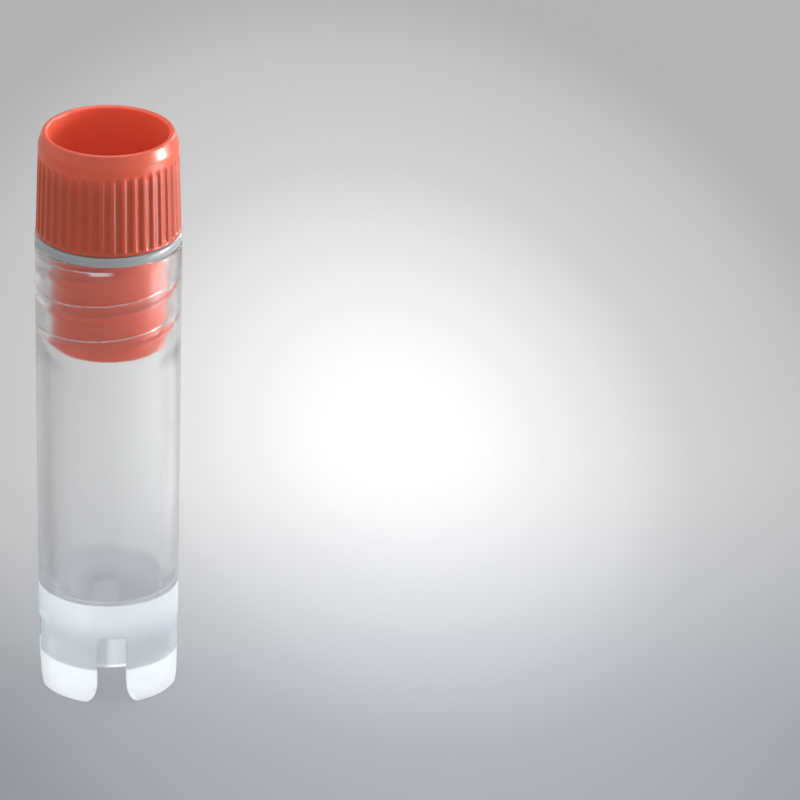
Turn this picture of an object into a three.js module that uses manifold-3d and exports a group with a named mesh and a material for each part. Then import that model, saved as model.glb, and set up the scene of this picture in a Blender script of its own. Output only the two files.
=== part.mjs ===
// A self-standing 2 ml screw-cap vial for samples kept at very low temperature.
// Millimetres, +Z up. The origin is on the axis, in the plane that the four feet stand on.
//
// Three moulded pieces:
//   tube          clear tube with a dished chamber, an internal thread and a slotted skirt
//   screw_cap     cap with a ribbed grip, and a threaded plug that goes down inside the tube
//   sealing_ring  flat soft ring that the cap presses onto the tube's rim

import * as THREE from 'three';
import { mergeVertices } from 'three/addons/utils/BufferGeometryUtils.js';
import Module from 'manifold-3d';

// ---- tube ----
const TUBE_HEIGHT = 41.0;
const BASE_RADIUS = 5.95;
const RIM_RADIUS = 6.25;
const EDGE_ROUND = 0.15;
const CHAMBER_TOP_RADIUS = 4.97;
const CHAMBER_BOTTOM_RADIUS = 4.85;
const DISH_TOP = 9.15;
const DISH_BOTTOM = 4.6;
const DISH_LEDGE = 0.25;
const SKIRT_RADIUS = 4.97;
const FLOOR_EDGE = 3.4;
const FLOOR_CENTRE = 2.5;
const FLOOR_ARC_END = -18; // degrees below level, where the domed underside meets the skirt
const SLOT_COUNT = 4;
const SLOT_WIDTH = 2.5;
const SLOT_HEIGHT = 6.2;
const SLOT_BACK_RADIUS = 4.87;
const FOOT_CORNER = 1.2;
const SLOT_TOP_ROUND = 0.3;

// ---- thread, the same right-hand helix on tube and plug ----
const PITCH = 3.2;
const TUBE_ROOT_RADIUS = 5.3;
const TUBE_CREST_RADIUS = 4.97;
const TUBE_RIDGE_BASE = 0.95;
const TUBE_RIDGE_CREST = 0.5;
const TUBE_THREAD_TOP = 1.0;
const TUBE_THREAD_START = -0.25; // turns from the front, where the lowest end lies
const TUBE_THREAD_TURNS = 2.25;
const THREADED_DEPTH = 9.0;
const PLUG_ROOT_RADIUS = 4.8;
const PLUG_CREST_RADIUS = 5.12;
const PLUG_RIDGE_BASE = 1.1;
const PLUG_RIDGE_CREST = 0.55;
const PLUG_RIDGE_DROP = 0.9; // how far the cap's ridge lies below the tube's
const PLUG_THREAD_TURNS = 2.0;

// ---- sealing ring ----
const RING_THICKNESS = 0.95;
const RING_OUTER_RADIUS = 6.25;
const RING_INNER_RADIUS = 4.95;
const RING_GAP = 0.05;

// ---- screw cap ----
const GRIP_HEIGHT = 9.0;
const GRIP_BASE_RADIUS = 6.17;
const SHOULDER_HEIGHT = 7.1;
const SHOULDER_RADIUS = 5.98;
const LIP_CREST_RADIUS = 5.4;
const LIP_ROUND = 0.25;
const LIP_HEIGHT = 1.05; // from the start of the shoulder's cone to the crest
const LIP_ARC_START = 20; // degrees above level, where the cone meets the lip's round
const RECESS_SHELF_RADIUS = 4.6;
const RECESS_SHELF = 1.6;
const PLUG_LENGTH = 10.4;
const PLUG_WALL = 1.1;
const PLUG_FLOOR = 1.2;
const PLUG_CHAMFER = 0.45;
const RIB_COUNT = 40;
const FLANGE_HEIGHT = 0.3;
const GROOVE_DEPTH = 0.22;
const GROOVE_MOUTH = 0.64;
const GROOVE_FLOOR = 0.34;

// ---- how finely round shapes are divided ----
const TUBE_SIDES = 72;
const CAP_SIDES = 80;
const RING_SIDES = 72;
const FLOOR_STEPS = 4;
const DISH_STEPS = 7;
const LIP_STEPS = 6;
const EDGE_STEPS = 1;
const SLOT_CORNER_STEPS = 5;

// ---- how far cutting and joining solids reach past the surfaces that they meet ----
const RIDGE_EMBED = 0.25;
const CUTTER_OVERREACH = 2;
const GROOVE_OVERREACH = 0.3;
const SOLE_OVERREACH = 0.06;
const MERGE_DISTANCE = 1e-4;

const FADE_TURNS = 0.15;
const FRONT = -Math.PI / 2;
const FULL_TURN = 2 * Math.PI;

const TUBE_COLOUR = 0xd6dde0;
const RING_COLOUR = 0xc6cccc;
const CAP_COLOUR = 0xd2402c;

const RING_BOTTOM = TUBE_HEIGHT + RING_GAP;
const CAP_BOTTOM = RING_BOTTOM + RING_THICKNESS + RING_GAP;

const wasm = await Module();
wasm.setup();

// A closed three.js geometry as a solid that can be cut and joined.
function toSolid(geometry) {
  const bare = geometry.index ? geometry.clone() : geometry;
  bare.deleteAttribute('normal');
  bare.deleteAttribute('uv');
  const merged = mergeVertices(bare, MERGE_DISTANCE);
  const vertProperties = new Float32Array(merged.attributes.position.array);
  const triVerts = new Uint32Array(merged.index.array);
  return new wasm.Manifold(new wasm.Mesh({ numProp: 3, vertProperties, triVerts }));
}

function toGeometry(solid) {
  const mesh = solid.getMesh();
  const geometry = new THREE.BufferGeometry();
  geometry.setAttribute('position', new THREE.BufferAttribute(mesh.vertProperties, 3));
  geometry.setIndex(new THREE.BufferAttribute(mesh.triVerts, 1));
  geometry.computeVertexNormals();
  return geometry;
}

// Points on a quarter or part of an ellipse, angles in degrees, both ends included.
function arc(centreR, centreZ, radiusR, radiusZ, from, to, steps) {
  return Array.from({ length: steps + 1 }, (_, i) => {
    const angle = THREE.MathUtils.degToRad(from + ((to - from) * i) / steps);
    return [centreR + radiusR * Math.cos(angle), centreZ + radiusZ * Math.sin(angle)];
  });
}

// A solid turned about Z from [radius, height] points, which start and end on the axis
// or close on themselves, and run anticlockwise.
function turned(points, sides) {
  const profile = points.map(([r, z]) => new THREE.Vector2(r < MERGE_DISTANCE ? 0 : r, z));
  return toSolid(new THREE.LatheGeometry(profile, sides).rotateX(Math.PI / 2));
}

// A thread ridge: a trapezium drawn out straight, then wound up as a right-hand helix.
// Its ends fade into the wall that carries it, so that it starts and stops softly. Each
// step spans two of the wall's sides, and ends in the middle of a side.
function threadRidge({ root, crest, baseWidth, crestWidth, top, turns, startTurn, sides }) {
  const outward = Math.sign(crest - root);
  const buried = root - outward * RIDGE_EMBED;
  const flare = (baseWidth - crestWidth) / Math.abs(crest - root);
  const buriedWidth = baseWidth + flare * RIDGE_EMBED;
  const section = new THREE.Shape([
    new THREE.Vector2(buried, -buriedWidth / 2),
    new THREE.Vector2(crest, -crestWidth / 2),
    new THREE.Vector2(crest, crestWidth / 2),
    new THREE.Vector2(buried, buriedWidth / 2),
  ]);
  const steps = Math.round((turns * sides) / 2);
  const halfSide = 0.5 / sides;
  const geometry = new THREE.ExtrudeGeometry(section, { depth: turns, steps, bevelEnabled: false });
  const position = geometry.attributes.position;
  for (let i = 0; i < position.count; i += 1) {
    const turn = position.getZ(i);
    const fromEnd = Math.min(turn, turns - turn) / FADE_TURNS;
    const fade = THREE.MathUtils.lerp(-0.5, 1, Math.min(fromEnd, 1));
    const height = (position.getX(i) - root) * outward;
    const radius = root + outward * (height > 0 ? height * fade : height);
    const angle = FRONT + (startTurn + turn + halfSide) * FULL_TURN;
    const z = top - position.getY(i) + (turn - turns) * PITCH;
    position.setXYZ(i, radius * Math.cos(angle), radius * Math.sin(angle), z);
  }
  return toSolid(geometry);
}

// ---- tube ----

// The skirt slot's outline, drawn across the slot: straight sides, and feet with round corners.
// The corners' arcs start just below the sole, so that the cut leaves the sole at an angle.
function slotOutline() {
  const half = SLOT_WIDTH / 2;
  const topX = half - SLOT_TOP_ROUND;
  const topZ = SLOT_HEIGHT - SLOT_TOP_ROUND;
  const cornerX = half + FOOT_CORNER;
  const cornerZ = FOOT_CORNER - SOLE_OVERREACH;
  const shape = new THREE.Shape();
  shape.moveTo(-cornerX, -CUTTER_OVERREACH);
  shape.lineTo(cornerX, -CUTTER_OVERREACH);
  shape.lineTo(cornerX, -SOLE_OVERREACH);
  shape.absarc(cornerX, cornerZ, FOOT_CORNER, -Math.PI / 2, -Math.PI, true);
  shape.lineTo(half, topZ);
  shape.absarc(topX, topZ, SLOT_TOP_ROUND, 0, Math.PI / 2, false);
  shape.absarc(-topX, topZ, SLOT_TOP_ROUND, Math.PI / 2, Math.PI, false);
  shape.lineTo(-half, cornerZ);
  shape.absarc(-cornerX, cornerZ, FOOT_CORNER, 0, -Math.PI / 2, true);
  return shape;
}

// Four slots, each cut just through the skirt, so that above the floor it is a groove.
function skirtSlots() {
  const settings = {
    depth: BASE_RADIUS + CUTTER_OVERREACH,
    bevelEnabled: false,
    curveSegments: SLOT_CORNER_STEPS,
  };
  const backHeight = 2 * (SLOT_HEIGHT + CUTTER_OVERREACH);
  const back = new THREE.CylinderGeometry(SLOT_BACK_RADIUS, SLOT_BACK_RADIUS, backHeight, TUBE_SIDES);
  const backSolid = toSolid(back.rotateX(Math.PI / 2).rotateZ(Math.PI / TUBE_SIDES));
  const slots = Array.from({ length: SLOT_COUNT }, (_, i) => {
    const blank = new THREE.ExtrudeGeometry(slotOutline(), settings).rotateX(Math.PI / 2);
    blank.rotateZ((i * FULL_TURN) / SLOT_COUNT);
    return toSolid(blank).subtract(backSolid);
  });
  return slots.reduce((all, slot) => all.add(slot));
}

function tubeGeometry() {
  const dishRadius = CHAMBER_BOTTOM_RADIUS - DISH_LEDGE;
  const threadEnd = TUBE_HEIGHT - THREADED_DEPTH;
  const throat = TUBE_ROOT_RADIUS - CHAMBER_TOP_RADIUS;
  const round = EDGE_ROUND;
  const profile = [
    ...arc(0, FLOOR_EDGE, SKIRT_RADIUS, FLOOR_EDGE - FLOOR_CENTRE, -90, FLOOR_ARC_END, FLOOR_STEPS),
    [SKIRT_RADIUS, FLOOR_EDGE],
    [SKIRT_RADIUS, 0],
    ...arc(BASE_RADIUS - round, round, round, round, -90, 0, EDGE_STEPS),
    ...arc(RIM_RADIUS - round, TUBE_HEIGHT - round, round, round, 0, 90, EDGE_STEPS),
    [TUBE_ROOT_RADIUS + round, TUBE_HEIGHT],
    [TUBE_ROOT_RADIUS, TUBE_HEIGHT - round],
    [TUBE_ROOT_RADIUS, threadEnd],
    [CHAMBER_TOP_RADIUS, threadEnd - throat],
    [CHAMBER_BOTTOM_RADIUS, DISH_TOP],
    ...arc(0, DISH_TOP, dishRadius, DISH_TOP - DISH_BOTTOM, 0, -90, DISH_STEPS),
  ];
  const ridge = threadRidge({
    root: TUBE_ROOT_RADIUS,
    crest: TUBE_CREST_RADIUS,
    baseWidth: TUBE_RIDGE_BASE,
    crestWidth: TUBE_RIDGE_CREST,
    top: TUBE_HEIGHT - TUBE_THREAD_TOP,
    turns: TUBE_THREAD_TURNS,
    startTurn: TUBE_THREAD_START,
    sides: TUBE_SIDES,
  });
  return toGeometry(turned(profile, TUBE_SIDES).subtract(skirtSlots()).add(ridge));
}

// ---- sealing ring ----

function ringGeometry() {
  const round = EDGE_ROUND;
  const profile = [
    [RING_INNER_RADIUS, 0],
    ...arc(RING_OUTER_RADIUS - round, round, round, round, -90, 0, EDGE_STEPS),
    ...arc(RING_OUTER_RADIUS - round, RING_THICKNESS - round, round, round, 0, 90, EDGE_STEPS),
    [RING_INNER_RADIUS, RING_THICKNESS],
    [RING_INNER_RADIUS, 0],
  ];
  return toGeometry(turned(profile, RING_SIDES));
}

// ---- screw cap, drawn with Z = 0 at the underside of its grip ----

// One groove of the grip: a trapezium that follows the grip's taper.
function gripGroove(index) {
  const spread = (GROOVE_MOUTH - GROOVE_FLOOR) / GROOVE_DEPTH;
  const outerHalf = (GROOVE_MOUTH + spread * GROOVE_OVERREACH) / 2;
  const section = new THREE.Shape([
    new THREE.Vector2(-GROOVE_DEPTH, -GROOVE_FLOOR / 2),
    new THREE.Vector2(GROOVE_OVERREACH, -outerHalf),
    new THREE.Vector2(GROOVE_OVERREACH, outerHalf),
    new THREE.Vector2(-GROOVE_DEPTH, GROOVE_FLOOR / 2),
  ]);
  const length = SHOULDER_HEIGHT - FLANGE_HEIGHT;
  const geometry = new THREE.ExtrudeGeometry(section, { depth: length, bevelEnabled: false });
  const position = geometry.attributes.position;
  for (let i = 0; i < position.count; i += 1) {
    const z = position.getZ(i) + FLANGE_HEIGHT;
    const taper = THREE.MathUtils.lerp(GRIP_BASE_RADIUS, SHOULDER_RADIUS, z / SHOULDER_HEIGHT);
    position.setX(i, position.getX(i) + taper);
    position.setZ(i, z);
  }
  return toSolid(geometry.rotateZ(((index + 0.5) * FULL_TURN) / RIB_COUNT));
}

function capGeometry() {
  const hollow = PLUG_ROOT_RADIUS - PLUG_WALL;
  const round = LIP_ROUND;
  const roundZ = GRIP_HEIGHT - round;
  const coneZ = GRIP_HEIGHT - LIP_HEIGHT;
  const coneRadius = THREE.MathUtils.lerp(GRIP_BASE_RADIUS, SHOULDER_RADIUS, coneZ / SHOULDER_HEIGHT);
  const profile = [
    [0, -PLUG_LENGTH],
    [PLUG_ROOT_RADIUS - PLUG_CHAMFER, -PLUG_LENGTH],
    [PLUG_ROOT_RADIUS, -PLUG_LENGTH + PLUG_CHAMFER],
    [PLUG_ROOT_RADIUS, 0],
    [GRIP_BASE_RADIUS, 0],
    [SHOULDER_RADIUS, SHOULDER_HEIGHT],
    [coneRadius, coneZ],
    ...arc(LIP_CREST_RADIUS, roundZ, round, round, LIP_ARC_START, 180, LIP_STEPS),
    [RECESS_SHELF_RADIUS, RECESS_SHELF],
    [hollow, RECESS_SHELF],
    [hollow, PLUG_FLOOR - PLUG_LENGTH],
    [0, PLUG_FLOOR - PLUG_LENGTH],
  ];
  const ridge = threadRidge({
    root: PLUG_ROOT_RADIUS,
    crest: PLUG_CREST_RADIUS,
    baseWidth: PLUG_RIDGE_BASE,
    crestWidth: PLUG_RIDGE_CREST,
    top: TUBE_HEIGHT - TUBE_THREAD_TOP - PLUG_RIDGE_DROP - CAP_BOTTOM,
    turns: PLUG_THREAD_TURNS,
    startTurn: TUBE_THREAD_START + TUBE_THREAD_TURNS - PLUG_THREAD_TURNS,
    sides: CAP_SIDES,
  });
  const grooves = Array.from({ length: RIB_COUNT }, (_, i) => gripGroove(i));
  const allGrooves = grooves.reduce((all, groove) => all.add(groove));
  return toGeometry(turned(profile, CAP_SIDES).add(ridge).subtract(allGrooves));
}

// ---- the assembled vial, closed ----

function piece(name, geometry, z, color, roughness) {
  const material = new THREE.MeshStandardMaterial({ color, roughness, metalness: 0 });
  const mesh = new THREE.Mesh(geometry, material);
  mesh.name = name;
  mesh.position.z = z;
  return mesh;
}

const vial = new THREE.Group();
vial.name = 'cryovial';
vial.add(piece('tube', tubeGeometry(), 0, TUBE_COLOUR, 0.35));
vial.add(piece('sealing_ring', ringGeometry(), RING_BOTTOM, RING_COLOUR, 0.5));
vial.add(piece('screw_cap', capGeometry(), CAP_BOTTOM, CAP_COLOUR, 0.35));

export default vial;
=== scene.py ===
"""A self-standing cryovial: a frosted clear tube, a seal and a ribbed screw cap, on a pale table.

Lengths are metres, with Z up the tube's axis and the soles of the four feet at Z 0. The outlines
that are turned round the axis are lists of (radius, height) in millimetres.
"""

import math

import bmesh
import bpy
from mathutils import Matrix, Vector


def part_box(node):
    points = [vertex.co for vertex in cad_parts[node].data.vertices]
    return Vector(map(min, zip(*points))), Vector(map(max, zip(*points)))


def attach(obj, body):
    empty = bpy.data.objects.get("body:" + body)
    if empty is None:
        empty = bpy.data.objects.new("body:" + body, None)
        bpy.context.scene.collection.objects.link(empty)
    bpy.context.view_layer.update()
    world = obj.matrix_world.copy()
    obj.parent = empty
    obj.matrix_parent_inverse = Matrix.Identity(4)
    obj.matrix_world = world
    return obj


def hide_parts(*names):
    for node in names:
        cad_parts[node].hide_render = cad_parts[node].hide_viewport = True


bl_info = {
    "name": "Cryovial",
    "version": (1, 0, 0),
    "blender": (4, 5, 0),
    "location": "View3D > Sidebar > Cryovial",
    "description": "Models a screw-cap cryovial with its seal, and a soft studio to see it in",
    "category": "Add Mesh",
}

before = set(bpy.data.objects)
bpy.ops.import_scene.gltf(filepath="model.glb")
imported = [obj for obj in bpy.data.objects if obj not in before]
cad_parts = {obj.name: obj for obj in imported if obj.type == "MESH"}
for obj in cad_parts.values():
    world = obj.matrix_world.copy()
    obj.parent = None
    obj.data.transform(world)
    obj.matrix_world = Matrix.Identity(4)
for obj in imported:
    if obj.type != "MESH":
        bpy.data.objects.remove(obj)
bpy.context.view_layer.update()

MM = 0.001
FULL_TURN = 2 * math.pi

TUBE_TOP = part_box("tube")[1][2]
CAP_BOTTOM = 42.05 * MM
CAP_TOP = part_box("screw_cap")[1][2]
PLUG_LENGTH = 10.4 * MM

# Straight pieces round the tube and the seal, and for each rib of the cap.
SIDES = 192
SIDES_A_RIB = 12

# The bore inside the mouth, and the ridge of the thread on it. A thread's turns are counted from
# the front, which is -Y, a quarter of a turn before X.
MOUTH_RADIUS = 5.3 * MM
THREAD_TOP = 40.0 * MM
THREAD_START = -0.25
THREAD_TURNS = 2.25
FRONT_TO_X = 0.25

# How far a thread's flanks are rounded, as a share of a flank, and how it rises at its ends, in turns.
FLANK_ROUNDING = 0.1
RISE_STARTS = -0.05
RISE_ENDS = 0.12

# Shares of milky plastic: in the thick floor, in the dish, more inside the feet, and on the ridge,
# where it is a painted highlight.
FLOOR_MILK = 0.47
DISH_MILK = 0.24
FEET_MILK = 0.45
RIDGE_HIGHLIGHT_SHARE = 0.7

# The table sweeps up into the backdrop.
TABLE_WIDTH = 1.8
TABLE_FRONT = -0.6
TABLE_BACK = 0.5
SWEEP_RADIUS = 0.3
SWEEP_STEPS = 12
BACKDROP_TOP = 1.2

# The backdrop's glow, a painted pool of light: grey from its middle, 0, outwards to the far corners of
# the view, 1.
GLOW = ((0.0, 0.835), (0.18, 0.780), (0.27, 0.720), (0.36, 0.665), (0.45, 0.605),
        (0.55, 0.53), (0.64, 0.495), (0.73, 0.468), (0.82, 0.440), (1.0, 0.36))
GLOW_MIDDLE = (28.6 * MM, 45.8 * MM, 0.0)
GLOW_REACH = 47.0 * MM
GLOW_SQUEEZE = (1.0, 0.4232, 0.0)
GLOW_STRENGTH = 0.93

# How much of the table's grey is lit by the lamps, and so takes the shadow.
SHADOW_SHARE = 0.22

# Lamps: name, place, height of the aim on the axis, width and height, share of the key light's
# power, and spread in degrees. Those of small power stand close to the vial.
LAMPS = (
    ("key_lamp", (0.58, 0.02, 0.085), 25 * MM, (0.18, 0.17), 0.88, 180),
    ("cap_lamp", (0.12, 0.0, 0.062), 48.5 * MM, (0.09, 0.09), 0.0019, 26),
    ("low_lamp", (0.108, -0.019, 0.005), 44 * MM, (0.08, 0.03), 0.0014, 50),
    ("foot_lamp", (-0.09, -0.09, 0.008), 0.0, (0.03, 0.02), 0.0011, 26),
    ("rim_lamp", (0.36, 0.42, 0.20), 25 * MM, (0.10, 0.50), 0.30, 180),
    ("top_lamp", (0.05, 0.10, 0.60), 25 * MM, (0.50, 0.50), 0.60, 180),
)
WORLD_COLOUR = (0.98, 0.99, 1.0, 1.0)
WORLD_STRENGTH = 0.78

# The camera stands off from the vial's middle and aims to its right and a little above it.
CAMERA_AZIMUTH = math.radians(-3.0)
CAMERA_RISE = math.radians(25.03)
CAMERA_ROLL = math.radians(0.861)
CAMERA_DISTANCE = 0.8
CAMERA_LENS = 421.9
VIAL_MIDDLE = Vector((0, 0, 25 * MM))
AIM_RIGHT = 24.88 * MM
AIM_UP = 0.94 * MM

BLACK = (0.0, 0.0, 0.0, 1.0)
WHITE = (1.0, 1.0, 1.0, 1.0)


# ---------------------------------------------------------------- settings

def length(name, description, default_mm):
    """A length property, stated in millimetres and kept in metres."""
    return bpy.props.FloatProperty(
        name=name, description=description, default=default_mm * MM,
        min=0.0, precision=5, subtype="DISTANCE", unit="LENGTH")


def colour(name, description, default):
    """A colour property in linear light."""
    return bpy.props.FloatVectorProperty(
        name=name, description=description, default=default,
        size=3, min=0.0, max=1.0, subtype="COLOR")


class TubeSettings(bpy.types.PropertyGroup):
    """Sizes and colours of the tube."""
    foot_radius: length("Radius at the feet", "Outer radius at the soles", 5.95)
    rim_radius: length("Radius at the rim", "Outer radius at the rim", 6.25)
    chamber_radius: length("Chamber radius", "Chamber's radius below the thread", 4.97)
    thread_depth: length("Thread height", "How far the ridge stands into the bore", 0.33)
    pitch: length("Pitch", "Rise of the thread in one turn", 3.2)
    slot_width: length("Slot width", "Width of each of the four slots", 2.5)
    slot_height: length("Slot height", "Top of the slots above the soles", 6.2)
    wall_colour: colour("Wall", "Tint of the clear plastic", (0.985, 0.988, 0.99))
    floor_colour: colour("Floor", "Milky tint of the thick floor", (0.68, 0.73, 0.78))
    # The underside colour makes the outside a darker grey low down, just above the feet.
    under_colour: colour("Underside", "Milky tint just above the feet", (0.38, 0.415, 0.45))
    foot_colour: colour("Feet", "Milky tint of the feet and the dish", (0.81, 0.84, 0.87))
    # The ridge's colour is a pinkish painted highlight along the thread's upper flank.
    ridge_highlight_colour: colour("Ridge", "Tint of the thread's frosted upper flank", (1.0, 0.82, 0.80))


class SealSettings(bpy.types.PropertyGroup):
    """Sizes and colour of the sealing ring."""
    outer_radius: length("Outer radius", "Ring's outer radius", 6.25)
    inner_radius: length("Inner radius", "Ring's inner radius", 4.95)
    # The white silicone's colour is painted down to grey, as painted shade.
    seal_shaded_colour: colour("Silicone", "Colour of the milky silicone", (0.235, 0.255, 0.255))


class CapSettings(bpy.types.PropertyGroup):
    """Sizes and colours of the cap."""
    grip_foot_radius: length("Grip radius, foot", "Grip's radius at its lower edge", 6.17)
    grip_top_radius: length("Grip radius, top", "Grip's radius at the ribs' upper ends", 5.98)
    lip_radius: length("Lip radius", "Radius of the lip's highest line", 5.40)
    groove_depth: length("Groove depth", "Depth of the grooves between the ribs", 0.17)
    plug_radius: length("Plug radius", "Plug's radius between the turns of its thread", 4.80)
    thread_depth: length("Thread height", "How far the ridge stands out of the plug", 0.32)
    ribs: bpy.props.IntProperty(
        name="Ribs", description="Number of ribs round the grip", default=40, min=8, max=80)
    # One plastic in lit and shaded copies: the lip, recess and plug are painted lighter and the grip
    # darker, as painted light and shade.
    lip_and_recess_lit_colour: colour("Thin walls", "Plastic of the lip and the recess", (0.80, 0.130, 0.068))
    plug_lit_colour: colour("Plug", "Plastic of the plug inside the tube", (0.66, 0.124, 0.076))
    grip_shaded_colour: colour("Grip", "Plastic of the thicker grip", (0.375, 0.052, 0.017))


class StudioSettings(bpy.types.PropertyGroup):
    """Light of the studio."""
    key_power: bpy.props.FloatProperty(
        name="Key light", description="Power that each lamp's own is a share of",
        default=3.1, min=0.0, unit="POWER")


# ---------------------------------------------------------------- modelling

def take_nothing():
    """Leaves edit mode and deselects everything."""
    if bpy.context.object and bpy.context.object.mode != "OBJECT":
        bpy.ops.object.mode_set(mode="OBJECT")
    bpy.ops.object.select_all(action="DESELECT")


def take_only(thing):
    """Selects one object and makes it the active one."""
    take_nothing()
    thing.select_set(True)
    bpy.context.view_layer.objects.active = thing


def start_outline(name, first):
    """Adds a small plane and merges it to the single point where an outline starts, in edit mode."""
    take_nothing()
    bpy.ops.mesh.primitive_plane_add(size=MM, location=(0, 0, 0))
    thing = bpy.context.object
    thing.name = name
    thing.data.name = name
    bpy.ops.object.mode_set(mode="EDIT")
    bpy.ops.mesh.select_all(action="SELECT")
    bpy.ops.mesh.merge(type="CENTER")
    bpy.ops.transform.translate(value=first)
    return thing


def draw_outline(name, points, closed):
    """Draws an outline by extruding a point from each place to the next, and stays in edit mode."""
    thing = start_outline(name, points[0])
    for here, there in zip(points, points[1:]):
        step = Vector(there) - Vector(here)
        bpy.ops.mesh.extrude_region_move(TRANSFORM_OT_translate={"value": step})
    if closed:
        shape = bmesh.from_edit_mesh(thing.data)
        for point in shape.verts:
            point.select = len(point.link_edges) == 1
        shape.select_flush_mode()
        bmesh.update_edit_mesh(thing.data)
        bpy.ops.mesh.edge_face_add()
    return thing


def arc(middle, across, up, start, end, steps):
    """Points (radius, height) along part of an ellipse, with angles in degrees."""
    points = []
    for step in range(steps + 1):
        angle = math.radians(start + (end - start) * step / steps)
        points.append((middle[0] + across * math.cos(angle), middle[1] + up * math.sin(angle)))
    return points


def rows(start, end, gap):
    """Points from start towards end, about a gap apart, without the last one."""
    span = math.dist(start, end)
    count = max(1, round(span / gap))
    return [(start[0] + (end[0] - start[0]) * row / count,
             start[1] + (end[1] - start[1]) * row / count) for row in range(count)]


def turn_outline(name, profile, sides):
    """Turns a closed profile of (radius, height) in millimetres round the tube's axis."""
    points = [(radius * MM, 0.0, height * MM) for radius, height in profile]
    thing = draw_outline(name, points, closed=True)
    bpy.ops.mesh.select_all(action="SELECT")
    bpy.ops.mesh.spin(steps=sides, angle=FULL_TURN, center=(0, 0, 0), axis=(0, 0, 1))
    bpy.ops.mesh.select_all(action="SELECT")
    bpy.ops.mesh.remove_doubles(threshold=0.002 * MM)
    bpy.ops.mesh.normals_make_consistent(inside=False)
    bpy.ops.object.mode_set(mode="OBJECT")
    return thing


def push(thing, group_name, weights, depth):
    """Moves a surface along its normals by a depth, as far as each point's weight says."""
    group = thing.vertex_groups.new(name=group_name)
    for index, weight in weights:
        group.add([index], weight, "REPLACE")
    take_only(thing)
    displace = thing.modifiers.new(group_name, "DISPLACE")
    displace.vertex_group = group_name
    displace.direction = "NORMAL"
    displace.mid_level = 0.0
    displace.strength = depth
    bpy.ops.object.modifier_apply(modifier=displace.name)
    thing.vertex_groups.clear()


def smooth_between(low, high, value):
    """0 below low, 1 above high, and an even curve between them."""
    share = min(1.0, max(0.0, (value - low) / (high - low)))
    return share * share * (3 - 2 * share)


def thread_weight(place, top, start, turns, pitch, base, crest):
    """How far a point of a threaded wall stands on the ridge, from 0 at the root to 1 on the crest.

    The ridge is right-handed and climbs a pitch in a turn. It starts so many turns from the front,
    and its middle ends at the height top. It is base thick at its root and crest thick on its crest.
    """
    part_turn = (math.atan2(place.y, place.x) / FULL_TURN + FRONT_TO_X) % 1.0
    flank = (base - crest) / 2
    full = crest / 2 - FLANK_ROUNDING * flank
    none = crest / 2 + (1 + FLANK_ROUNDING) * flank
    best = 0.0
    for whole in range(-1, 4):
        turn = part_turn + whole - start
        middle = top - (turns - turn) * pitch
        height = 1.0 - smooth_between(full, none, abs(place.z - middle))
        lower_end = smooth_between(RISE_STARTS, RISE_ENDS, turn)
        upper_end = smooth_between(RISE_STARTS, RISE_ENDS, turns - turn)
        best = max(best, height * lower_end * upper_end)
    return best


def raise_thread(thing, root, low, high, depth, **ridge):
    """Raises the ridge that thread_weight describes on a round wall, between two heights."""
    tolerance = 0.02 * MM
    weights = []
    for point in thing.data.vertices:
        off_wall = abs(math.hypot(point.co.x, point.co.y) - root) > tolerance
        if off_wall or not low < point.co.z < high:
            continue
        weight = thread_weight(point.co, **ridge)
        if weight > 0:
            weights.append((point.index, weight))
    push(thing, "thread", weights, depth)


def cut_away(thing, cutter):
    """Cuts one solid out of another."""
    take_only(thing)
    cut = thing.modifiers.new("cut", "BOOLEAN")
    cut.operation = "DIFFERENCE"
    cut.solver = "EXACT"
    cut.object = cutter
    bpy.ops.object.modifier_apply(modifier=cut.name)


def smooth_faces(thing, angle_degrees):
    """Shades the faces smooth, apart from edges sharper than an angle."""
    take_only(thing)
    bpy.ops.object.shade_smooth_by_angle(angle=math.radians(angle_degrees))


# ---------------------------------------------------------------- materials

class Value:
    """A socket of a material's nodes, with the ordinary operators of arithmetic."""

    def __init__(self, recipe, socket):
        self.recipe = recipe
        self.socket = socket

    def __add__(self, other):
        return self.recipe.maths("ADD", self, other)

    def __radd__(self, other):
        return self.recipe.maths("ADD", other, self)

    def __sub__(self, other):
        return self.recipe.maths("SUBTRACT", self, other)

    def __rsub__(self, other):
        return self.recipe.maths("SUBTRACT", other, self)

    def __mul__(self, other):
        return self.recipe.maths("MULTIPLY", self, other)

    def __rmul__(self, other):
        return self.recipe.maths("MULTIPLY", other, self)

    def __truediv__(self, other):
        return self.recipe.maths("DIVIDE", self, other)

    def __rtruediv__(self, other):
        return self.recipe.maths("DIVIDE", other, self)


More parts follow.
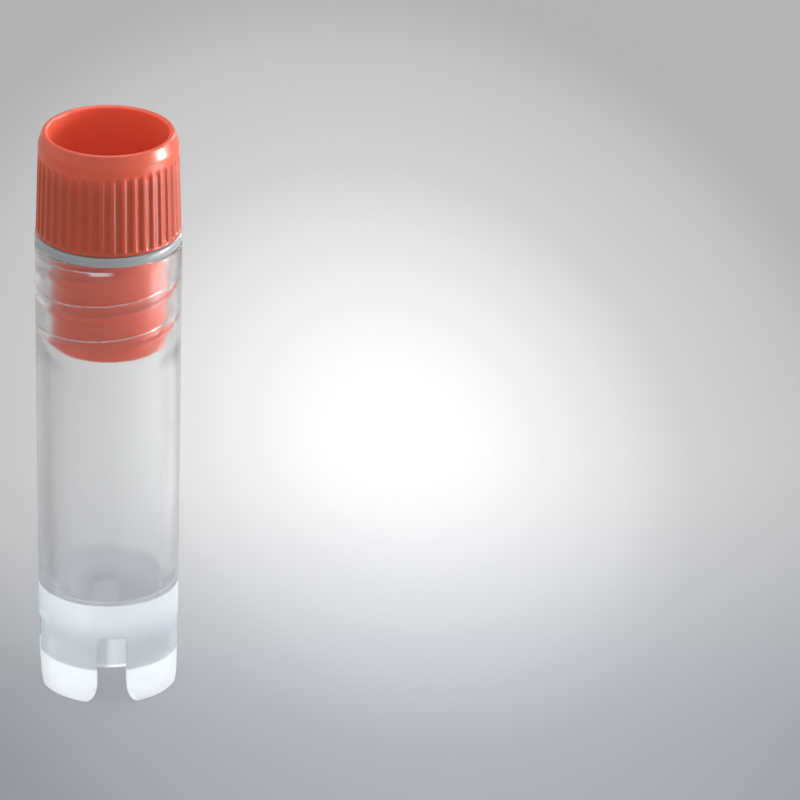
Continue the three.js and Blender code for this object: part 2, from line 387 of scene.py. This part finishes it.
class Recipe:
    """A material and the nodes that make it."""

    def __init__(self, name):
        self.material = bpy.data.materials.new(name)
        self.material.use_nodes = True
        self.tree = self.material.node_tree
        self.tree.nodes.clear()

    def node(self, kind, settings=None, values=None, output=0):
        """Adds a node, sets its settings, then its sockets' values or links, and gives an output."""
        node = self.tree.nodes.new(kind)
        for key, setting in (settings or {}).items():
            if key == "stops":
                self.set_stops(node.color_ramp, setting)
            else:
                setattr(node, key, setting)
        for key, value in (values or {}).items():
            if isinstance(value, Value):
                self.tree.links.new(value.socket, node.inputs[key])
            else:
                node.inputs[key].default_value = value
        return Value(self, node.outputs[output]) if node.outputs else None

    def set_stops(self, ramp, stops):
        """Gives a ramp its stops of (value, grey), with a soft curve through them."""
        ramp.interpolation = "CARDINAL"
        while len(ramp.elements) < len(stops):
            ramp.elements.new(0.5)
        for element, (position, grey) in zip(ramp.elements, stops):
            element.position = position
            element.color = (grey, grey, grey, 1.0)

    def maths(self, operation, *values):
        """Works out one value from others."""
        return self.node("ShaderNodeMath", {"operation": operation}, dict(enumerate(values)))

    def place(self):
        """Object coordinates."""
        return self.node("ShaderNodeTexCoord", output="Object")

    def axis(self, index):
        """One object coordinate in metres: 0 for X, 1 for Y, 2 for the height above the soles."""
        return self.node("ShaderNodeSeparateXYZ", values={0: self.place()}, output=index)

    def vector(self, operation, first, second):
        """Works out a vector from two others."""
        return self.node("ShaderNodeVectorMath", {"operation": operation}, {0: first, 1: second})

    def size(self, vector):
        """Length of a vector."""
        return self.node("ShaderNodeVectorMath", {"operation": "LENGTH"}, {0: vector}, output="Value")

    def radius(self):
        """Distance from the tube's axis, in metres."""
        return self.size(self.vector("MULTIPLY", self.place(), (1.0, 1.0, 0.0)))

    def turn(self):
        """Angle round the tube's axis, from X, in turns."""
        return self.maths("ARCTAN2", self.axis(1), self.axis(0)) / FULL_TURN

    def noise(self, scale, detail):
        """A soft random value, mostly between 0.3 and 0.7."""
        values = {"Vector": self.place(), "Scale": scale, "Detail": detail}
        return self.node("ShaderNodeTexNoise", values=values)

    def ramp(self, value, low, high, to_low=0.0, to_high=1.0):
        """Carries a value's range to another, with a soft start and end."""
        return self.node(
            "ShaderNodeMapRange", {"interpolation_type": "SMOOTHSTEP"},
            {"Value": value, "From Min": low, "From Max": high, "To Min": to_low, "To Max": to_high})

    def spread(self, noise, lowest, highest):
        """Carries a noise's values to a range."""
        return self.ramp(noise, 0.3, 0.7, lowest, highest)

    def above(self, value, line, soft):
        """1 above a line and 0 below it, with a soft step of a width."""
        return self.ramp(value, line - soft / 2, line + soft / 2)

    def below(self, value, line, soft):
        """1 below a line and 0 above it, with a soft step of a width."""
        return self.ramp(value, line + soft / 2, line - soft / 2)

    def blend(self, share, first, second, kind="MIX"):
        """Mixes two colours."""
        return self.node(
            "ShaderNodeMix", {"data_type": "RGBA", "blend_type": kind},
            {0: share, 6: first, 7: second}, output=2)

    def mottle(self, noise, rgb, darkest=0.94, lightest=1.05):
        """A colour that a noise makes a little darker or lighter from place to place."""
        return self.blend(noise, shade(rgb, darkest), shade(rgb, lightest))

    def bump(self, height, strength):
        """A normal that follows heights of up to 0.02 mm."""
        return self.node(
            "ShaderNodeBump", values={"Height": height, "Strength": strength, "Distance": 0.02 * MM})

    def plastic(self, values):
        """A Principled surface."""
        return self.node("ShaderNodeBsdfPrincipled", values=values)

    def finish(self, surface):
        """Ends the recipe with a surface, and gives the material."""
        self.node("ShaderNodeOutputMaterial", values={"Surface": surface})
        return self.material


def shade(rgb, factor=1.0):
    """A colour with its alpha, made lighter or darker."""
    return (rgb[0] * factor, rgb[1] * factor, rgb[2] * factor, 1.0)


def painted_ridge_highlight(recipe, height, radius, pitch):
    """1 on the upper flank of the mouth's thread, where a painted highlight goes, and 0 elsewhere.

    The ridge's middle passes X at some height, and rises from there by a pitch in a turn, so the
    fraction left of a height in pitches tells how far above the middle a place is.
    """
    middle_at_x = THREAD_TOP / pitch - THREAD_TURNS + FRONT_TO_X - THREAD_START
    above_middle = recipe.maths("FRACT", height / pitch - recipe.turn() - middle_at_x)
    upper_side = recipe.below(above_middle, 0.275, soft=0.05)
    off_crest = recipe.above(radius, 5.07 * MM, soft=0.06 * MM)
    off_root = recipe.below(radius, 5.23 * MM, soft=0.06 * MM)
    in_mouth = recipe.above(height, 32.7 * MM, soft=0.2 * MM)
    return upper_side * off_crest * off_root * in_mouth


def clear_plastic(settings):
    """Frosted clear polypropylene, milkier low down where the floor and feet are thick, with a painted
    highlight along the thread's upper flank.
    """
    recipe = Recipe("frosted_polypropylene")
    grain = recipe.noise(scale=2600.0, detail=4.0)
    flow = recipe.noise(scale=240.0, detail=2.0)
    height = recipe.axis(2)
    radius = recipe.radius()
    floor = recipe.below(height, 9.35 * MM, soft=0.14 * MM)
    feet = recipe.below(height, 3.2 * MM, soft=0.3 * MM)
    under_dish = recipe.below(height, 4.05 * MM, soft=0.5 * MM)
    inside_skirt = recipe.below(radius, 5.15 * MM, soft=0.2 * MM)
    dish = recipe.below(radius, 4.81 * MM, soft=0.1 * MM)
    # Where the thread's upper flank takes a painted highlight.
    ridge_highlight = painted_ridge_highlight(recipe, height, radius, settings.pitch)
    clearer_dish = dish * (under_dish - floor) * (FLOOR_MILK - DISH_MILK)
    milky = floor * FLOOR_MILK + clearer_dish + inside_skirt * feet * FEET_MILK + ridge_highlight * RIDGE_HIGHLIGHT_SHARE
    skin = recipe.bump(grain, 0.10)
    wall = recipe.plastic({
        "Base Color": shade(settings.wall_colour),
        "Roughness": recipe.spread(flow, 0.22, 0.265),
        "IOR": 1.22,
        "Transmission Weight": 1.0,
        "Coat Weight": 0.5,
        "Coat Roughness": 0.20,
        "Normal": skin,
    })
    # The outside is a darker grey low down, just above the feet.
    low_down = recipe.below(height, 6.7 * MM, soft=3.4 * MM)
    outside = recipe.above(radius, 5.275 * MM, soft=0.65 * MM)
    thick = recipe.blend(low_down * outside, shade(settings.floor_colour), shade(settings.under_colour))
    pale = recipe.blend(recipe.maths("MAXIMUM", feet, dish), thick, shade(settings.foot_colour))
    milk = recipe.plastic({
        # The thread's upper flank is painted a pinkish highlight colour.
        "Base Color": recipe.blend(ridge_highlight, pale, shade(settings.ridge_highlight_colour)),
        "Roughness": recipe.spread(grain, 0.30, 0.36),
        "IOR": 1.49,
        "Normal": skin,
    })
    mixed = recipe.node("ShaderNodeMixShader", values={0: milky, 1: wall, 2: milk})
    return recipe.finish(mixed)


def seal_silicone(settings):
    """Milky silicone with a satin skin, its white painted down to grey as painted shade."""
    recipe = Recipe("milky_silicone")
    cloud = recipe.noise(scale=500.0, detail=3.0)
    grain = recipe.noise(scale=4000.0, detail=3.0)
    surface = recipe.plastic({
        # Grey that stands in for the white ring's shade.
        "Base Color": recipe.mottle(cloud, settings.seal_shaded_colour, darkest=0.93),
        "Roughness": recipe.spread(cloud, 0.29, 0.34),
        "Subsurface Weight": 0.7,
        "Subsurface Radius": (1.0, 1.05, 1.1),
        "Subsurface Scale": 0.8 * MM,
        "Coat Weight": 0.6,
        "Coat Roughness": 0.10,
        "Normal": recipe.bump(grain, 0.12),
    })
    return recipe.finish(surface)


def cap_plastic(settings):
    """Orange-red moulded plastic with a satin gloss, in painted light and shade: darker on the grip,
    lighter on the lip, the recess, the crown and the plug.
    """
    recipe = Recipe("cap_polypropylene")
    flow = recipe.noise(scale=220.0, detail=3.0)
    grain = recipe.noise(scale=3500.0, detail=4.0)
    height = recipe.axis(2)
    above_plug = recipe.above(height, 42.15 * MM, soft=0.1 * MM)
    crown = recipe.above(height, 48.4 * MM, soft=2.0 * MM)
    outside = recipe.above(recipe.radius(), 5.275 * MM, soft=0.25 * MM)
    # The plug, lip and recess take painted light; the grip takes painted shade.
    plug = recipe.mottle(flow, settings.plug_lit_colour)
    lip = recipe.mottle(flow, settings.lip_and_recess_lit_colour)
    grip = recipe.mottle(flow, settings.grip_shaded_colour)
    # The crown is painted part of the way towards the lip's lighter colour, as painted light.
    crown_painted_light = crown * 0.32
    surface = recipe.plastic({
        "Base Color": recipe.blend(
            outside * (1.0 - crown_painted_light), recipe.blend(above_plug, plug, lip), grip),
        "Roughness": recipe.spread(flow, 0.29, 0.36),
        "Subsurface Weight": 0.8,
        "Subsurface Radius": (1.0, 0.30, 0.20),
        "Subsurface Scale": 0.45 * MM,
        "Coat Weight": 0.12,
        "Coat Roughness": 0.12,
        "Normal": recipe.bump(grain, 0.10),
    })
    return recipe.finish(surface)


def table_paint():
    """A pale table with a painted glow and painted shade on its near side, whose light on other things
    is that of a plain lit table.
    """
    recipe = Recipe("pale_table")
    grain = recipe.noise(scale=30.0, detail=3.0)
    from_middle = recipe.vector("SUBTRACT", recipe.place(), GLOW_MIDDLE)
    away = recipe.size(recipe.vector("MULTIPLY", from_middle, GLOW_SQUEEZE))
    glow = recipe.node("ShaderNodeValToRGB", {"stops": GLOW}, {0: away / GLOW_REACH})
    # The near side of the table is painted a darker blue-grey, as painted shade.
    near_side = recipe.ramp(recipe.axis(1), 45.0 * MM, -20.0 * MM)
    tint = recipe.blend(near_side, WHITE, (0.70, 0.72, 0.79, 1.0))
    toned = recipe.blend(1.0, glow, tint, "MULTIPLY")
    bounced = recipe.node("ShaderNodeLightPath", output="Diffuse Depth")
    lit = recipe.blend(SHADOW_SHARE, BLACK, toned)
    surface = recipe.plastic({
        "Base Color": recipe.blend(bounced, lit, (0.90, 0.90, 0.90, 1.0)),
        "Emission Color": recipe.blend(bounced, toned, BLACK),
        "Emission Strength": GLOW_STRENGTH,
        "Roughness": recipe.spread(grain, 0.60, 0.66),
        "Specular IOR Level": 0.0,
    })
    return recipe.finish(surface)


# ---------------------------------------------------------------- the tube

class CRYOVIAL_OT_tube(bpy.types.Operator):
    """Models the tube: tapered wall, inner thread, dished floor, slotted skirt and four feet"""
    bl_idname = "cryovial.tube"
    bl_label = "Tube"

    def execute(self, context):
        settings = context.scene.cryovial_tube
        body = turn_outline("tube_body", self.outline(settings), SIDES)
        raise_thread(
            body, MOUTH_RADIUS, 32.1 * MM, TUBE_TOP, settings.thread_depth,
            top=THREAD_TOP, start=THREAD_START, turns=THREAD_TURNS, pitch=settings.pitch,
            base=0.95 * MM, crest=0.5 * MM)
        self.cut_slots(body, settings)
        smooth_faces(body, 35)
        body.data.materials.clear()
        body.data.materials.append(clear_plastic(settings))
        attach(body, "tube")
        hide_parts("tube")
        return {"FINISHED"}

    def outline(self, settings):
        """The tube's section, from a sole up the outside and down the inside, in millimetres."""
        foot = settings.foot_radius / MM
        rim = settings.rim_radius / MM
        chamber = settings.chamber_radius / MM
        mouth = MOUTH_RADIUS / MM
        top = TUBE_TOP / MM
        edge = 0.15
        ledge = 9.15
        dish = 4.6
        skirt = 4.97
        # outside, with a slight draft
        profile = arc((foot - edge, edge), edge, edge, -90, 0, 3)
        profile += [(5.98, 3.0), (5.995, 6.7), (6.0, 8.0), (6.1, 20.0), (6.2, 34.0)]
        profile += arc((rim - edge, top - edge), edge, edge, 0, 90, 3)
        # mouth, in close rows for the thread, and the step down to the chamber
        profile += [(mouth + edge, top), (mouth, 40.85)]
        profile += rows((mouth, 40.75), (mouth, 32.0), 0.11)
        profile += [(mouth, 32.0), (5.28, 31.7), (5.22, 31.3), (5.12, 30.8), (5.03, 30.2)]
        # chamber, ledge and dish
        profile += [(chamber, 29.4), (4.94, 26.0), (4.90, 18.0)]
        profile += [(4.85, ledge + edge), (4.82, ledge + 0.03), (4.76, ledge)]
        profile += arc((0.0, ledge), dish, 4.55, 0, -90, 16)
        # domed underside and inside of the skirt
        profile += [(0.0, 2.5)]
        profile += arc((0.0, 3.4), skirt, 0.9, -80, -18, 8)
        profile += [(skirt, 2.9), (skirt, 0.12), (skirt + 0.12, 0.0)]
        return profile

    def cut_slots(self, body, settings):
        """Cuts the four slots out of the skirt and rounds their edges."""
        cutter = self.slot_cutter(settings)
        for quarter in range(4):
            take_only(cutter)
            if quarter:
                bpy.ops.transform.rotate(
                    value=math.radians(90), orient_axis="Z", center_override=(0, 0, 0))
            cut_away(body, cutter)
        bpy.data.objects.remove(cutter)
        soften = body.modifiers.new("soften", "BEVEL")
        soften.limit_method = "ANGLE"
        soften.angle_limit = math.radians(50)
        soften.width = 0.1 * MM
        soften.segments = 2
        take_only(body)
        bpy.ops.object.modifier_apply(modifier=soften.name)

    def slot_cutter(self, settings):
        """The solid that a slot takes away: it opens out at the soles, and its inner end is round."""
        half = settings.slot_width / 2 / MM
        height = settings.slot_height / MM
        corner = 0.3
        sole = 1.2
        sole_rise = 2.0
        inner_end = 3.8
        reach = 4.0
        back_radius = 4.87 * MM
        side = [(half + sole, -0.5), (half + sole, 0.0)]
        side += arc((half + sole, sole_rise), sole, sole_rise, -90, -180, 8)[1:]
        side += arc((half - corner, height - corner), corner, corner, 0, 90, 3)
        outline = side + [(-across, up) for across, up in reversed(side)]
        points = [(inner_end * MM, across * MM, up * MM) for across, up in outline]
        cutter = draw_outline("slot_cutter", points, closed=True)
        bpy.ops.mesh.select_all(action="SELECT")
        bpy.ops.mesh.edge_face_add()
        bpy.ops.mesh.extrude_region_move(TRANSFORM_OT_translate={"value": (reach * MM, 0, 0)})
        bpy.ops.mesh.select_all(action="SELECT")
        bpy.ops.mesh.normals_make_consistent(inside=False)
        take_nothing()
        bpy.ops.mesh.primitive_cylinder_add(vertices=SIDES, radius=back_radius, depth=20 * MM)
        core = bpy.context.object
        cut_away(cutter, core)
        bpy.data.objects.remove(core)
        return cutter


# ---------------------------------------------------------------- the seal

class CRYOVIAL_OT_seal(bpy.types.Operator):
    """Models the flat sealing ring between the rim and the cap"""
    bl_idname = "cryovial.seal"
    bl_label = "Seal"

    def execute(self, context):
        settings = context.scene.cryovial_seal
        outer = settings.outer_radius / MM
        inner = settings.inner_radius / MM
        low, high = (corner[2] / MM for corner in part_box("sealing_ring"))
        outer_edge = 0.28
        inner_edge = 0.12
        profile = arc((outer - outer_edge, low + outer_edge), outer_edge, outer_edge, -90, 0, 5)
        profile += arc((outer - outer_edge, high - outer_edge), outer_edge, outer_edge, 0, 90, 5)
        profile += arc((inner + inner_edge, high - inner_edge), inner_edge, inner_edge, 90, 180, 3)
        profile += arc((inner + inner_edge, low + inner_edge), inner_edge, inner_edge, 180, 270, 3)
        ring = turn_outline("seal", profile, SIDES)
        smooth_faces(ring, 40)
        ring.data.materials.clear()
        ring.data.materials.append(seal_silicone(settings))
        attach(ring, "ring")
        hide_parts("sealing_ring")
        return {"FINISHED"}


# ---------------------------------------------------------------- the cap

class CRYOVIAL_OT_cap(bpy.types.Operator):
    """Models the cap: ribbed grip, round lip, stepped recess and threaded plug"""
    bl_idname = "cryovial.cap"
    bl_label = "Cap"

    def execute(self, context):
        settings = context.scene.cryovial_cap
        cap = turn_outline("cap_moulding", self.outline(settings), settings.ribs * SIDES_A_RIB)
        self.press_grooves(cap, settings)
        raise_thread(
            cap, settings.plug_radius, 32.3 * MM, 41.9 * MM, settings.thread_depth,
            top=39.1 * MM, start=0.0, turns=2.0, pitch=context.scene.cryovial_tube.pitch,
            base=1.1 * MM, crest=0.55 * MM)
        smooth_faces(cap, 40)
        cap.data.materials.clear()
        cap.data.materials.append(cap_plastic(settings))
        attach(cap, "cap")
        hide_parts("screw_cap")
        return {"FINISHED"}

    def outline(self, settings):
        """The cap's section, from the grip's underside up, over the lip and down, in millimetres."""
        foot = settings.grip_foot_radius / MM
        shoulder = settings.grip_top_radius / MM
        plug = settings.plug_radius / MM
        lip = settings.lip_radius / MM
        low = CAP_BOTTOM / MM
        top = CAP_TOP / MM
        end = low - PLUG_LENGTH / MM
        foot_edge = 0.1
        lip_edge = 0.25
        plug_edge = 0.45
        hollow = 3.7
        # grip, in close rows where the grooves start and end
        profile = [(plug, low), (foot - 0.2, low)]
        profile += arc((foot - foot_edge, low + foot_edge), foot_edge, foot_edge, -90, 0, 3)[1:]
        profile += rows((6.165, 42.2), (6.15, 42.8), 0.08)
        profile += rows((6.15, 42.8), (6.0, 48.5), 0.9)
        profile += rows((6.0, 48.5), (shoulder, 49.4), 0.1)
        # shoulder and lip
        profile += [(5.97, 49.75), (5.955, 49.95), (5.91, 50.12), (5.84, 50.3)]
        profile += arc((lip, top - lip_edge), lip_edge, lip_edge, 20, 180, 12)
        # recess, down to its shelf
        profile += [(5.12, 50.5), (4.98, 48.0), (4.62, 43.9), (4.5, 43.65), (3.8, 43.62)]
        # hollow of the plug, down to its floor
        profile += [(hollow, 43.4), (hollow, 38.0), (hollow, end + 1.5), (3.5, end + 1.2)]
        profile += [(1.8, end + 1.15), (0.0, end + 1.15)]
        # plug's end, and its outside in close rows for the thread
        profile += [(0.0, end), (2.0, end), (4.2, end)]
        profile += arc((plug - plug_edge, end + plug_edge), plug_edge, plug_edge, -90, 0, 4)
        profile += rows((plug, end + plug_edge + 0.1), (plug, low - 0.1), 0.13)
        return profile

    def press_grooves(self, cap, settings):
        """Presses the grooves into the grip, between its ribs."""
        outer_skin = 5.8 * MM
        groove_bottom = 0.12 * MM
        groove_edge = 0.36 * MM
        weights = []
        for point in cap.data.vertices:
            radius = math.hypot(point.co.x, point.co.y)
            if radius < outer_skin:
                continue
            part = (math.atan2(point.co.y, point.co.x) / FULL_TURN * settings.ribs) % 1.0
            away = abs(part - 0.5) * FULL_TURN * radius / settings.ribs
            groove = 1.0 - smooth_between(groove_bottom, groove_edge, away)
            lower_end = smooth_between(42.2 * MM, 42.5 * MM, point.co.z)
            upper_end = 1.0 - smooth_between(48.7 * MM, 49.3 * MM, point.co.z)
            weight = groove * lower_end * upper_end
            if weight > 0:
                weights.append((point.index, weight))
        push(cap, "grooves", weights, -settings.groove_depth)


# ---------------------------------------------------------------- the studio

class CRYOVIAL_OT_studio(bpy.types.Operator):
    """Sets the pale table and backdrop, the soft lamps, the world and the camera"""
    bl_idname = "cryovial.studio"
    bl_label = "Studio"

    def execute(self, context):
        settings = context.scene.cryovial_studio
        self.add_table()
        for name, place, aim_height, size, share, spread in LAMPS:
            self.add_lamp(name, place, aim_height, size, settings.key_power * share, spread)
        self.add_world(context.scene)
        self.add_camera(context.scene)
        context.scene.view_settings.view_transform = "Standard"
        return {"FINISHED"}

    def add_table(self):
        """Adds a table that sweeps up into the backdrop."""
        sweep = [(0.0, TABLE_FRONT, 0.0), (0.0, TABLE_BACK, 0.0)]
        for step in range(1, SWEEP_STEPS + 1):
            angle = math.radians(90 * step / SWEEP_STEPS)
            back = SWEEP_RADIUS * math.sin(angle)
            up = SWEEP_RADIUS - SWEEP_RADIUS * math.cos(angle)
            sweep.append((0.0, TABLE_BACK + back, up))
        sweep.append((0.0, TABLE_BACK + SWEEP_RADIUS, BACKDROP_TOP))
        table = draw_outline("table_sweep", sweep, closed=False)
        bpy.ops.mesh.select_all(action="SELECT")
        bpy.ops.transform.translate(value=(-TABLE_WIDTH / 2, 0, 0))
        bpy.ops.mesh.extrude_region_move(TRANSFORM_OT_translate={"value": (TABLE_WIDTH, 0, 0)})
        bpy.ops.mesh.select_all(action="SELECT")
        bpy.ops.mesh.normals_make_consistent(inside=False)
        smooth_faces(table, 40)
        table.data.materials.clear()
        table.data.materials.append(table_paint())

    def add_lamp(self, name, place, aim_height, size, power, spread):
        """Adds a rectangular lamp that faces a point on the tube's axis."""
        bpy.ops.object.light_add(type="AREA", location=place)
        lamp = bpy.context.object
        lamp.name = name
        lamp.data.name = name
        lamp.data.shape = "RECTANGLE"
        lamp.data.size = size[0]
        lamp.data.size_y = size[1]
        lamp.data.energy = power
        lamp.data.spread = math.radians(spread)
        aim = Vector((0, 0, aim_height)) - Vector(place)
        lamp.rotation_euler = aim.to_track_quat("-Z", "Y").to_euler()

    def add_world(self, scene):
        """Adds an even, nearly white light from all round."""
        world = bpy.data.worlds.new("soft_room")
        world.use_nodes = True
        background = world.node_tree.nodes["Background"]
        background.inputs["Color"].default_value = WORLD_COLOUR
        background.inputs["Strength"].default_value = WORLD_STRENGTH
        scene.world = world

    def add_camera(self, scene):
        """Adds a long lens that looks down a little, with the vial well to the left."""
        back = Vector((math.sin(CAMERA_AZIMUTH) * math.cos(CAMERA_RISE),
                       -math.cos(CAMERA_AZIMUTH) * math.cos(CAMERA_RISE),
                       math.sin(CAMERA_RISE)))
        right = Vector((math.cos(CAMERA_AZIMUTH), math.sin(CAMERA_AZIMUTH), 0.0))
        up = back.cross(right)
        eye = VIAL_MIDDLE + back * CAMERA_DISTANCE
        aim = VIAL_MIDDLE + right * AIM_RIGHT + up * AIM_UP
        forward = (aim - eye).normalized()
        level = forward.cross(Vector((0, 0, 1))).normalized()
        above = level.cross(forward)
        side = level * math.cos(CAMERA_ROLL) + above * math.sin(CAMERA_ROLL)
        upright = side.cross(forward)
        bpy.ops.object.camera_add(location=eye)
        camera = bpy.context.object
        camera.name = "camera"
        camera.data.lens = CAMERA_LENS
        camera.data.sensor_width = 36.0
        camera.data.clip_start = 0.05
        turn = Matrix((side, upright, -forward)).transposed()
        camera.matrix_world = Matrix.Translation(eye) @ turn.to_4x4()
        scene.camera = camera


# ---------------------------------------------------------------- the panel

class CRYOVIAL_PT_panel(bpy.types.Panel):
    """Lists the pieces and their settings."""
    bl_label = "Cryovial"
    bl_idname = "CRYOVIAL_PT_panel"
    bl_space_type = "VIEW_3D"
    bl_region_type = "UI"
    bl_category = "Cryovial"

    def draw(self, context):
        scene = context.scene
        for operator, settings in (("cryovial.tube", scene.cryovial_tube),
                                   ("cryovial.seal", scene.cryovial_seal),
                                   ("cryovial.cap", scene.cryovial_cap),
                                   ("cryovial.studio", scene.cryovial_studio)):
            box = self.layout.box()
            for name in settings.bl_rna.properties.keys():
                if name not in ("rna_type", "name"):
                    box.prop(settings, name)
            box.operator(operator)


CLASSES = (
    TubeSettings,
    SealSettings,
    CapSettings,
    StudioSettings,
    CRYOVIAL_OT_tube,
    CRYOVIAL_OT_seal,
    CRYOVIAL_OT_cap,
    CRYOVIAL_OT_studio,
    CRYOVIAL_PT_panel,
)


def register():
    """Makes the operators, the panel and the scene's settings known to Blender."""
    for one in CLASSES:
        bpy.utils.register_class(one)
    bpy.types.Scene.cryovial_tube = bpy.props.PointerProperty(type=TubeSettings)
    bpy.types.Scene.cryovial_seal = bpy.props.PointerProperty(type=SealSettings)
    bpy.types.Scene.cryovial_cap = bpy.props.PointerProperty(type=CapSettings)
    bpy.types.Scene.cryovial_studio = bpy.props.PointerProperty(type=StudioSettings)


def unregister():
    """Takes them away again."""
    del bpy.types.Scene.cryovial_studio
    del bpy.types.Scene.cryovial_cap
    del bpy.types.Scene.cryovial_seal
    del bpy.types.Scene.cryovial_tube
    for one in reversed(CLASSES):
        bpy.utils.unregister_class(one)


def main():
    """Models the vial and its studio."""
    register()
    bpy.ops.cryovial.tube()
    bpy.ops.cryovial.seal()
    bpy.ops.cryovial.cap()
    bpy.ops.cryovial.studio()


if __name__ == "__main__":
    main()
